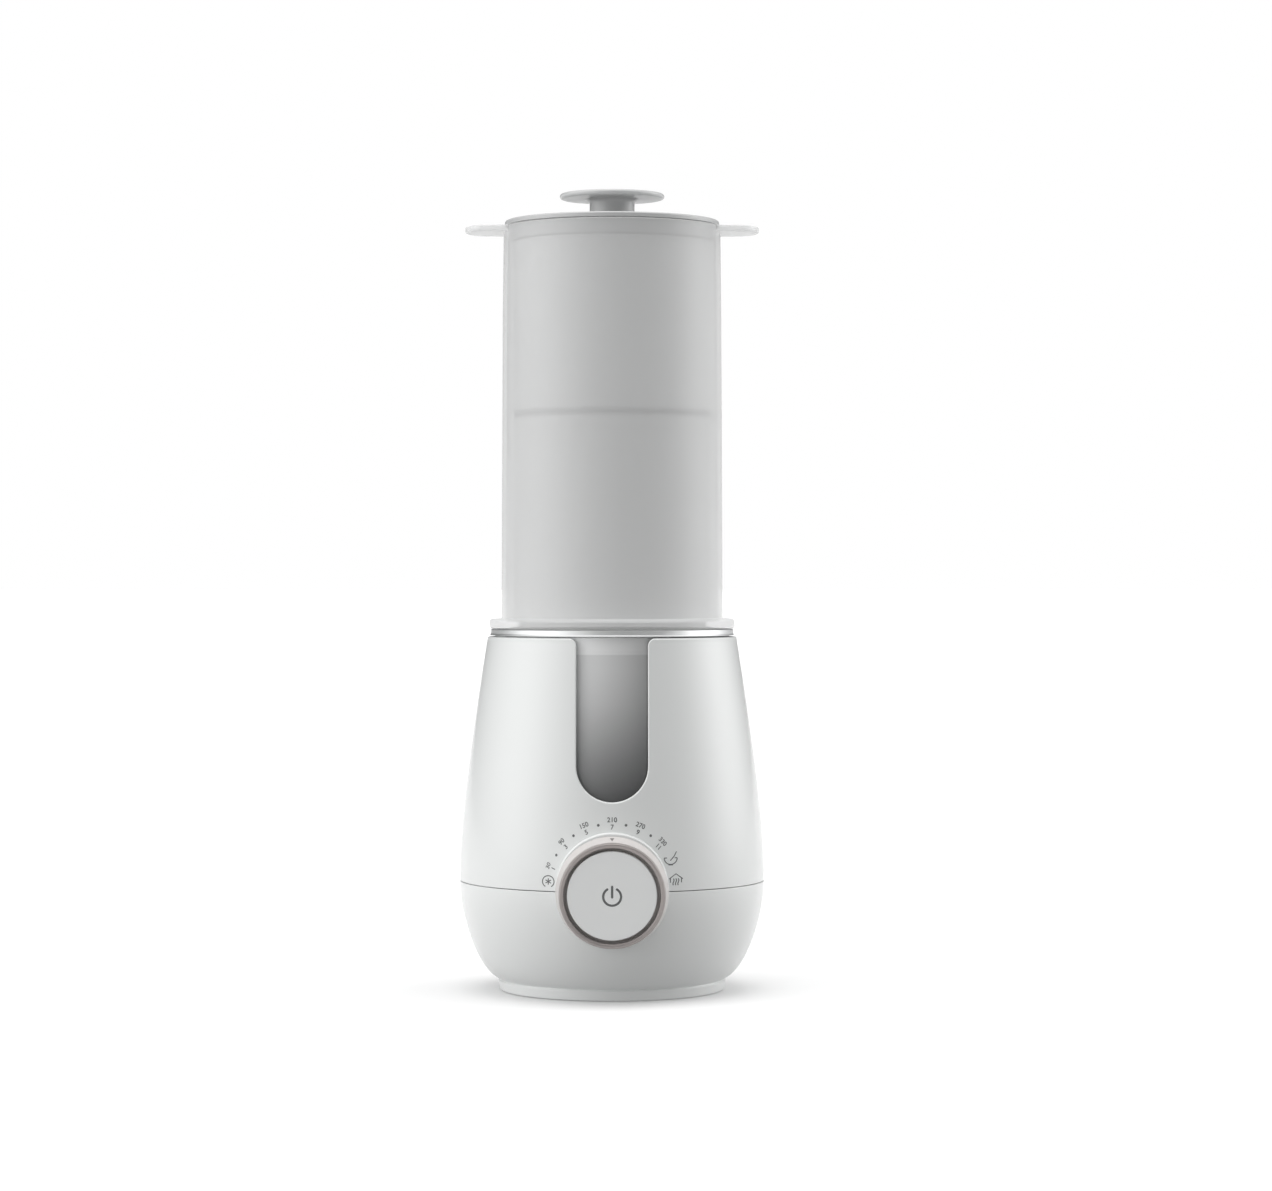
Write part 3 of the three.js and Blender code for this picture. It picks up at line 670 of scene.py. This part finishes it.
chamber = turned(
    "warming_chamber_cup",
    filleted(
        [
            (PLATE_HOLE_R, FLOOR_Z, 0.2),
            (54, FLOOR_Z, 2),
            (58.8, FLOOR_Z + 3.4, 4),
            *chamber_sides(CHAMBER_INSET),
            (COLLAR_R, COLLAR_FOOT, 1.5),
            (COLLAR_R, COLLAR_TOP, 0.4),
            (COLLAR_R - CHAMBER_WALL, COLLAR_TOP, 0.4),
            (COLLAR_R - CHAMBER_WALL, COLLAR_FOOT, 1.5),
            *chamber_sides(CHAMBER_INSET + CHAMBER_WALL)[::-1],
            (57.6, FLOOR_Z + 5.4, 3),
            (53.4, FLOOR_Z + CHAMBER_FLOOR, 2),
            (PLATE_HOLE_R, FLOOR_Z + CHAMBER_FLOOR, 0.3),
        ]
    ),
    256,
)


def coloured_by_height(name, stops, roughness, painted_reflection=0, **settings):
    """A moulding whose colour follows its height: stops are (height in mm, colour).

    The last argument is a painted reflection: the colour is painted that much lighter at the slot's left edge, and
    that much deeper at its right edge.
    """
    made = material(name, None, roughness, **settings)
    tree = made.node_tree
    shader = tree.nodes["Principled BSDF"]
    place = tree.nodes.new("ShaderNodeTexCoord")
    split = tree.nodes.new("ShaderNodeSeparateXYZ")
    tree.links.new(place.outputs["Object"], split.inputs[0])
    bottom, top = stops[0][0], stops[-1][0]
    share = tree.nodes.new("ShaderNodeMapRange")
    share.inputs["From Min"].default_value = bottom * MM
    share.inputs["From Max"].default_value = top * MM
    tree.links.new(split.outputs["Z"], share.inputs["Value"])
    ramp = tree.nodes.new("ShaderNodeValToRGB")
    elements = ramp.color_ramp.elements
    elements.remove(elements[1])
    for index, (height, colour) in enumerate(stops):
        at = (height - bottom) / (top - bottom)
        element = elements[0] if index == 0 else elements.new(at)
        element.position = at
        element.color = (*colour, 1)
    tree.links.new(share.outputs["Result"], ramp.inputs["Fac"])
    # Painted reflection: the colour is painted lighter towards the slot's left edge and deeper towards its right,
    # standing for the light from the left.
    shade = tree.nodes.new("ShaderNodeMapRange")
    shade.inputs["From Min"].default_value = -SLOT_HALF * MM
    shade.inputs["From Max"].default_value = SLOT_HALF * MM
    shade.inputs["To Min"].default_value = 1 + painted_reflection
    shade.inputs["To Max"].default_value = 1 - painted_reflection
    tree.links.new(split.outputs["X"], shade.inputs["Value"])
    shaded = tree.nodes.new("ShaderNodeVectorMath")
    shaded.operation = "SCALE"
    tree.links.new(ramp.outputs["Color"], shaded.inputs[0])
    tree.links.new(shade.outputs["Result"], shaded.inputs["Scale"])
    tree.links.new(shaded.outputs[0], shader.inputs["Base Color"])
    return made


# The chamber's colour is painted darker towards the bottom. This is painted shade of the recess behind the slot,
# which deepens downwards. Up the barrel it is painted lighter as a painted highlight. The frosted collar from
# 156.5 mm up is lighter in its own colour.
smoke = coloured_by_height(
    "smoke_tint_and_painted_shade",
    (
        (FLOOR_Z, (0.07, 0.072, 0.073)),
        (94, (0.13, 0.132, 0.133)),
        (108, (0.26, 0.263, 0.264)),
        (134, (0.54, 0.543, 0.544)),
        (156.2, (0.7, 0.705, 0.705)),
        (156.5, (0.85, 0.855, 0.855)),
        (COLLAR_TOP, (0.86, 0.865, 0.865)),
    ),
    0.24,
    # The chamber gets a painted reflection: it is painted lighter on its left and deeper on its right.
    painted_reflection=0.3,
    Alpha=0.95,
    Coat_Weight=0.4,
    Coat_Roughness=0.08,
)
finished(chamber, smoke, "base", ["warming_chamber"])

# ---- dial --------------------------------------------------------------------------------------
# A pearl-white moulded skirt on a hub that passes through the seat, and a satin taupe ring set on
# its front. A small arrowhead is printed at the top of the skirt, to be set against the scale.
FACE = 10.5
HUB_R = 20.9
HUB_BORE_R = 19.3
HUB_BACK = -9.6
SKIRT_R = 25.3
SKIRT_EDGE = 1.3
SKIRT_TIP_R = 23.9
SKIRT_TIP = FACE - 2.2
SLOPE_LONG = FACE - 3.5
skirt = turned(
    "dial_skirt",
    filleted(
        [
            (HUB_BORE_R, HUB_BACK, 0.1),
            (HUB_R, HUB_BACK, 0.1),
            (HUB_R, 0.4, 0),
            (SKIRT_R, 0.4, 0.25),
            (SKIRT_R, SKIRT_EDGE, 1),
            (SKIRT_TIP_R, SKIRT_TIP, 0.4),
            (21.7, SKIRT_TIP, 0.1),
            (21.7, 5, 0),
            (HUB_BORE_R, 5, 0.2),
        ]
    ),
    192,
    dial_frame,
)
pearl = material(
    "pearl", (0.62, 0.59, 0.575), 0.4, grain=0.02, Coat_Weight=0.3, Coat_Roughness=0.2, Sheen_Weight=0.1
)
finished(skirt, pearl, "dial", ["dial_knob"])

BEZEL_BORE_R = 21.6
bezel = turned(
    "dial_bezel",
    filleted(
        [
            (BEZEL_BORE_R, FACE - 1.9, 0.1),
            (23.7, FACE - 1.9, 0.1),
            (23.5, FACE, 0.7),
            (BEZEL_BORE_R, FACE - 0.3, 0.4),
        ]
    ),
    192,
    dial_frame,
)
taupe = material("taupe_satin", (0.33, 0.30, 0.29), 0.36, grain=0.05, grain_scale=900, Metallic=0.55)
finished(bezel, taupe, "dial", ["dial_trim_ring"])


def strip(points, width):
    """A flat band along points in a plane, as a list of quads of (x, y)."""
    sides = []
    for before, point, after in zip(points[:1] + points[:-1], points, points[1:] + points[-1:]):
        along = (Vector(after) - Vector(before)).normalized()
        across = Vector((-along.y, along.x)) * width / 2
        sides.append((Vector(point) + across, Vector(point) - across))
    return [(a[0], a[1], b[1], b[0]) for a, b in zip(sides, sides[1:])]


def arc(x, y, r, start, end, steps):
    """Points on a circle from start to end, in degrees clockwise from the top."""
    turns = [math.radians(start + (end - start) * step / steps) for step in range(steps + 1)]
    return [(x + r * math.sin(t), y + r * math.cos(t)) for t in turns]


def disc(x, y, r):
    """A round dot of 24 corners."""
    return [Vector(corner) for corner in arc(x, y, r, 0, 345, 23)]


def printed(name, polygons, onto, ink, body):
    """Ink on a surface: onto turns each (x, y) into a place on it."""
    made = bmesh.new()
    for polygon in polygons:
        made.faces.new([made.verts.new(onto(*corner)) for corner in polygon])
    thing = mesh_object(name, made)
    thing.data.materials.append(ink)
    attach(thing, body)


INK_STANDS = 0.04
grey_ink = material("grey_ink", (0.13, 0.135, 0.135), 0.5, drift=0.05)
pointer_ink = material("pointer_ink", (0.2, 0.185, 0.18), 0.5, drift=0.05)


def on_skirt(x, y):
    """A place on the skirt's slope at the top of the dial: x across, y along the dial's axis."""
    slope_r = SKIRT_R + (SKIRT_TIP_R - SKIRT_R) * (y - SKIRT_EDGE) / SLOPE_LONG + INK_STANDS
    return dial_frame @ (Vector((x, math.sqrt(slope_r**2 - x * x), y)) * MM)


arrow = [(-1, 3.2), (1, 3.2), (0, 7)]
printed("dial_pointer", [arrow], on_skirt, pointer_ink, "dial")

# ---- power button ------------------------------------------------------------------------------
# A finely textured round cap on a guide sleeve, slightly crowned, with the power sign printed in
# grey.
BUTTON_R = 20.0
BUTTON_FACE = FACE - 0.7
BUTTON_BACK = BUTTON_FACE - 2.2
CROWN = 0.25
PLUNGER_R = 2
PLUNGER_END = -10.7
SLEEVE_R = 16.8
SLEEVE_BORE_R = 15.4
SLEEVE_END = -5
button = turned(
    "button_cap",
    filleted(
        [
            (0, PLUNGER_END, 0),
            (PLUNGER_R, PLUNGER_END, 0.3),
            (PLUNGER_R, BUTTON_BACK, 0.4),
            (SLEEVE_BORE_R, BUTTON_BACK, 0.4),
            (SLEEVE_BORE_R, SLEEVE_END, 0.2),
            (SLEEVE_R, SLEEVE_END, 0.2),
            (SLEEVE_R, BUTTON_BACK, 0.2),
            (BUTTON_R, BUTTON_BACK, 0.2),
            (BUTTON_R, BUTTON_FACE - CROWN, 0.45),
            (0, BUTTON_FACE, 0),
        ]
    ),
    192,
    dial_frame,
)
button_white = material(
    "button_matte", (0.95, 0.962, 0.956), 0.48, drift=0.006, grain=0.05, grain_scale=3500
)
finished(button, button_white, "button", ["power_button"])

SIGN_R = 3.95
SIGN_STROKE = 1.0
sign_round = arc(0, -0.2, SIGN_R, 33, 327, 48)
sign_bar = [(0, -0.4), (0, 4.3)]
sign = strip(sign_round, SIGN_STROKE) + strip(sign_bar, SIGN_STROKE)
for x, y in (*sign_bar, sign_round[0], sign_round[-1]):
    sign.append(disc(x, y, SIGN_STROKE / 2))


def on_button(x, y):
    """A place on the button's face."""
    fall = CROWN * math.hypot(x, y) / BUTTON_R
    return dial_frame @ (Vector((x, y, BUTTON_FACE - fall + INK_STANDS)) * MM)


printed("power_sign", sign, on_button, grey_ink, "button")

# ---- the scale round the dial ------------------------------------------------------------------
# Printed on the upper housing: millilitres outside and ounces inside, dots between, and three
# plain marks, for thawing, baby food and steaming.
SCALE_Z = 49.6  # the height that the scale is centred on
SCALE = (("30", "1"), ("90", "3"), ("150", "5"), ("210", "7"), ("270", "9"), ("330", "11"))
SCALE_START = -67.5
SCALE_STEP = 22.5
OUTER_R = 33.5
INNER_R = 30.3
DOT_R = 31.8
DOT_SIZE = 0.62
TEXT_SIZE = 3
SQUEEZE_R = 110  # the larger it is, the less the print closes up towards the sides


def around_dial(r, degrees):
    """The (x, z) of a place on the scale, clockwise from the top."""
    angle = math.radians(degrees)
    return r * math.sin(angle), SCALE_Z + r * math.cos(angle)


def figures(text):
    """The polygons of a short number, centred, as lists of (x, y)."""
    line = bpy.data.curves.new("figures", "FONT")
    line.body = text
    line.size = TEXT_SIZE
    line.align_x = "CENTER"
    line.align_y = "CENTER"
    line.resolution_u = 4
    line.offset = 0.05
    holder = bpy.data.objects.new("figures", line)
    bpy.context.scene.collection.objects.link(holder)
    bpy.context.view_layer.update()
    flat = bpy.data.meshes.new_from_object(holder.evaluated_get(bpy.context.evaluated_depsgraph_get()))
    polygons = [[tuple(flat.vertices[index].co[:2]) for index in face.vertices] for face in flat.polygons]
    bpy.data.objects.remove(holder)
    return polygons


def leaned(polygons, r, degrees, lean=None):
    """Polygons carried out to a place on the scale and turned by lean, or by the place's own angle."""
    x0, z0 = around_dial(r, degrees)
    turn_by = Matrix.Rotation(-math.radians(degrees if lean is None else lean), 2)
    return [[turn_by @ Vector(corner) + Vector((x0, z0)) for corner in polygon] for polygon in polygons]


def on_housing(x, z):
    """A place on the housing's front, where the print closes up a little towards the sides."""
    return on_wall(x * (1 - (x / SQUEEZE_R) ** 2), z, INK_STANDS)


marks = []
for index, (millilitres, ounces) in enumerate(SCALE):
    degrees = SCALE_START + SCALE_STEP * index
    marks += leaned(figures(millilitres), OUTER_R, degrees)
    marks += leaned(figures(ounces), INNER_R, degrees)
printed("scale_figures", marks, on_housing, grey_ink, "base")

dots = []
for index in range(len(SCALE) - 1):
    dots += leaned([disc(0, 0, DOT_SIZE)], DOT_R, SCALE_START + SCALE_STEP * (index + 0.5))
printed("scale_dots", dots, on_housing, grey_ink, "base")

# The marks are drawn about their own middles, in millimetres.
LINE = 0.42
bowl = strip(arc(0, 0.5, 2.9, 90, 270, 20), LINE)
bowl += strip([(-2.9, 0.5), (2.9, 0.5)], LINE)
bowl += strip([(-0.2, -0.7), (1.5, 1.2), (2.6, 3.3)], LINE)
bowl += strip([(-1, -2.6), (1, -2.6)], LINE)
steam = strip([(-3.1, 0.6), (0, 2.9), (3.1, 0.6)], LINE)
steam += strip([(-2.5, 0.9), (-2.5, -1)], LINE) + strip([(2.5, 0.9), (2.5, -1)], LINE)
for x in (-1.1, 0, 1.1):
    steam += strip([(x + 0.25 * math.sin(step), 0.8 - 0.5 * step) for step in range(7)], LINE)
thaw = strip(arc(0, 0, 2.6, -150, 150, 30), LINE)
for degrees in (0, 60, 120):
    x, y = arc(0, 0, 1.4, degrees, degrees + 1, 1)[0]
    thaw += strip([(-x, -y), (x, y)], LINE)
icons = leaned(bowl, 30.6, 58.8, 0) + leaned(steam, 29.2, 77.5, 0) + leaned(thaw, 29.1, -78.5, 0)
printed("scale_icons", icons, lambda x, z: on_wall(x, z, INK_STANDS), grey_ink, "base")

# ---- steriliser tower --------------------------------------------------------------------------
# One tall moulding of frosted grey clear plastic: a spigot that drops into the chamber, a rounded
# flange, a wall that tapers a little, a ledge for the baskets, and two flat ears to lift it by.
tower_low, tower_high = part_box("steriliser_shell")
TOWER_TOP = tower_high.z / MM
FLANGE_R = tower_high.y / MM
EAR_REACH = tower_high.x / MM
LEDGE = 170.6
SPIGOT_R = 49.6
SPIGOT_BORE_R = 47.6
SPIGOT_Z = 157
FLANGE_Z = 167.6
FLANGE_TOP = 171.9
TAPER_Z = TOWER_TOP - 40
EAR_HALF = 14
EAR_END = 9
EAR_ROOT = 47.8
shell = turned(
    "steriliser_tower",
    filleted(
        [
            (SPIGOT_BORE_R, SPIGOT_Z, 0.6),
            (SPIGOT_R, SPIGOT_Z, 0.6),
            (SPIGOT_R, FLANGE_Z, 0.2),
            (FLANGE_R, FLANGE_Z, 0.9),
            (FLANGE_R, FLANGE_TOP, 1.5),
            (51.3, FLANGE_TOP, 0.8),
            (50.7, TAPER_Z, 0),
            (50.2, TOWER_TOP, 0.5),
            (48.2, TOWER_TOP, 0.5),
            (48.7, TAPER_Z, 0),
            (49.3, LEDGE, 0.5),
            (43.4, LEDGE, 0.3),
            (43.4, LEDGE - 2, 0.3),
            (SPIGOT_BORE_R, LEDGE - 3, 0.8),
        ]
    ),
    256,
)


def ear(side):
    """A flat tab with a round end, its edges softened."""
    made = bmesh.new()
    half = EAR_HALF
    end = EAR_REACH - EAR_END
    edge = [(EAR_ROOT, -half - 2)]
    edge += [(end + EAR_END * math.sin(t), -half * math.cos(t)) for t in np.linspace(0, math.pi, 41)]
    edge += [(EAR_ROOT, half + 2)]
    layers = [(0.8, TOWER_TOP - 2.9), (0.25, TOWER_TOP - 2.65), (0, TOWER_TOP - 2.1)]
    layers += [(0, TOWER_TOP - 0.8), (0.25, TOWER_TOP - 0.25), (0.8, TOWER_TOP)]
    rings = []
    for inset, z in layers:
        ring = []
        for x, y in edge:
            pull = 1 - inset / half
            outer = x > EAR_ROOT  # the root stays where it is, inside the tower's wall
            ring.append(made.verts.new(Vector((side * (x - inset * outer), y * pull, z)) * MM))
        rings.append(ring)
    tab = closed_stack("ear", made, rings)
    low, high = TOWER_TOP - 9, TOWER_TOP + 4
    bore = turned("bore", [(0, low), (48.5, low), (48.4, high), (0, high)], 256)
    return joined(tab, bore, "DIFFERENCE")


for side in (-1, 1):
    shell = joined(shell, ear(side), "UNION")
frosted = material(
    "frosted_grey",
    (0.92, 0.925, 0.925),
    0.38,
    drift=0.01,
    grain=0.03,
    Alpha=0.46,
    Coat_Weight=0.2,
    Coat_Roughness=0.25,
)
finished(shell, frosted, "tower", ["steriliser_shell"])

# ---- baskets -----------------------------------------------------------------------------------
# Two round baskets of the same frosted plastic, thinner. Their floors are pierced for the steam,
# and the upper one's foot plugs into the lower one's rim.
BASKET_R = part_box("lower_basket")[1].x / MM
LOW_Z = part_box("lower_basket")[0].z / MM
LOW_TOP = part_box("lower_basket")[1].z / MM
HIGH_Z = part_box("upper_basket")[0].z / MM
HIGH_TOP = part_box("upper_basket")[1].z / MM
TIER = LOW_TOP + 0.3
BASKET_WALL = 1.6
BASKET_FLOOR = 1.8
PLUG_R = BASKET_R - 2.3
PLUG_BORE_R = BASKET_R - 3.9
STEAM_HOLE_R = 4.1
lower_basket = turned(
    "lower_basket_cup",
    filleted(
        [
            (0, LOW_Z, 0),
            (BASKET_R - 0.4, LOW_Z, 1),
            (BASKET_R, LOW_Z + 3, 0),
            (BASKET_R, LOW_TOP, 0.5),
            (BASKET_R - BASKET_WALL, LOW_TOP, 0.5),
            (BASKET_R - BASKET_WALL, LOW_Z + BASKET_FLOOR, 1),
            (0, LOW_Z + BASKET_FLOOR, 0),
        ]
    ),
)
upper_basket = turned(
    "upper_basket_cup",
    filleted(
        [
            (0, HIGH_Z, 0),
            (PLUG_R, HIGH_Z, 0.6),
            (PLUG_R, TIER, 0.2),
            (BASKET_R, TIER, 0.4),
            (BASKET_R, HIGH_TOP, 0.5),
            (BASKET_R - BASKET_WALL, HIGH_TOP, 0.5),
            (BASKET_R - BASKET_WALL, TIER + 2, 0.6),
            (PLUG_BORE_R, TIER, 0.4),
            (PLUG_BORE_R, HIGH_Z + BASKET_FLOOR, 0.8),
            (0, HIGH_Z + BASKET_FLOOR, 0),
        ]
    ),
)
FROST = (0.94, 0.945, 0.945)
THICK_FROST = (0.4, 0.405, 0.405)  # where two walls meet, at the rim and the foot that plugs into it
basket_plastic = coloured_by_height(
    "basket_frost",
    (
        (LOW_Z, FROST),
        (LOW_TOP - 2, FROST),
        (LOW_TOP - 1, THICK_FROST),
        (TIER + 1, THICK_FROST),
        (TIER + 2.5, FROST),
        (HIGH_TOP, FROST),
    ),
    0.45,
    grain=0.05,
    Alpha=0.75,
)
for basket, floor_z, node, body in (
    (lower_basket, LOW_Z, "lower_basket", "low_basket"),
    (upper_basket, HIGH_Z, "upper_basket", "high_basket"),
):
    for ring_r, count in ((0, 1), (15, 5), (29, 8)):
        for index in range(count):
            angle = 2 * math.pi * index / count
            place = upright(ring_r * math.cos(angle), ring_r * math.sin(angle))
            hole = rod("hole", STEAM_HOLE_R, floor_z - 1, floor_z + 3, 32, place)
            basket = joined(basket, hole, "DIFFERENCE")
    finished(basket, basket_plastic, body, [node])

# ---- lid and knob ------------------------------------------------------------------------------
# A grey satin lid, a little domed, with a skirt that drops into the tower and four steam vents.
# The mushroom knob plugs into its middle.
LID_Z = TOWER_TOP + 0.3
LID_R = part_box("lid")[1].x / MM
LID_TOP = 356.1
LID_BORE_R = 7.2
LID_SKIRT_Z = 347.3
VENT_R = 1.8
VENT_RING_R = 20
lid = turned(
    "lid_disc",
    filleted(
        [
            (LID_BORE_R, LID_Z + 1.6, 0.2),
            (45, LID_Z, 0.6),
            (45, LID_SKIRT_Z, 0.4),
            (46.8, LID_SKIRT_Z, 0.4),
            (47, LID_Z, 0.4),
            (LID_R, LID_Z, 0.4),
            (LID_R, LID_TOP, 0.9),
            (30, LID_TOP + 1, 8),
            (LID_BORE_R, LID_TOP + 1.5, 0.3),
        ]
    ),
    256,
)
for index in range(4):
    angle = math.pi / 4 + math.pi / 2 * index
    place = upright(VENT_RING_R * math.cos(angle), VENT_RING_R * math.sin(angle))
    lid = joined(lid, rod("vent", VENT_R, 350, 360, 32, place), "DIFFERENCE")
grey = material(
    "satin_grey", (0.55, 0.555, 0.555), 0.34, drift=0.01, grain=0.02, Coat_Weight=0.25, Coat_Roughness=0.2
)
finished(lid, grey, "cover_lid", ["lid"])

knob_low, knob_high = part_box("lid_knob")
KNOB_R = knob_high.x / MM
KNOB_TOP = knob_high.z / MM
PLUG_END = knob_low.z / MM
KNOB_PLUG_R = 6.9
STEM_R = 10.4
STEM_Z = LID_TOP + 1.8
DISC_Z = 366.5
knob = turned(
    "mushroom_knob",
    filleted(
        [
            (0, PLUG_END, 0),
            (KNOB_PLUG_R, PLUG_END, 0.4),
            (KNOB_PLUG_R, STEM_Z, 0.2),
            (STEM_R, STEM_Z, 0.3),
            (STEM_R, DISC_Z - 1, 1.6),
            (12.6, DISC_Z, 1.2),
            (KNOB_R, DISC_Z, 1.2),
            (KNOB_R - 0.1, KNOB_TOP - 0.7, 1.2),
            (0, KNOB_TOP, 0),
        ]
    ),
)
finished(knob, grey, "cover_lid", ["lid_knob"])

# ---- inside: heater, board and wiring ----------------------------------------------------------
# These stay as the frame has them and are hardly seen. Each takes the surface of what it is made
# of.
INSIDE = {
    "steel": steel,
    "silicone": material("silicone", (0.62, 0.63, 0.61), 0.55, grain=0.1),
    "dark_plastic": material("dark_plastic", (0.03, 0.031, 0.033), 0.45, drift=0.1, grain=0.08),
    "board_green": material("solder_mask", (0.02, 0.11, 0.05), 0.3, drift=0.15, grain=0.1, grain_scale=600),
    "lead_sleeve": material("lead_sleeve", (0.16, 0.06, 0.03), 0.5, drift=0.1, grain=0.05),
}
slots = {part["node"]: part["material_slot"] for part in frame["record"]["subparts"]}
for name, node in frame["nodes"].items():
    if node.hide_render:
        continue
    node.data.materials.clear()
    node.data.materials.append(INSIDE[slots[name]])
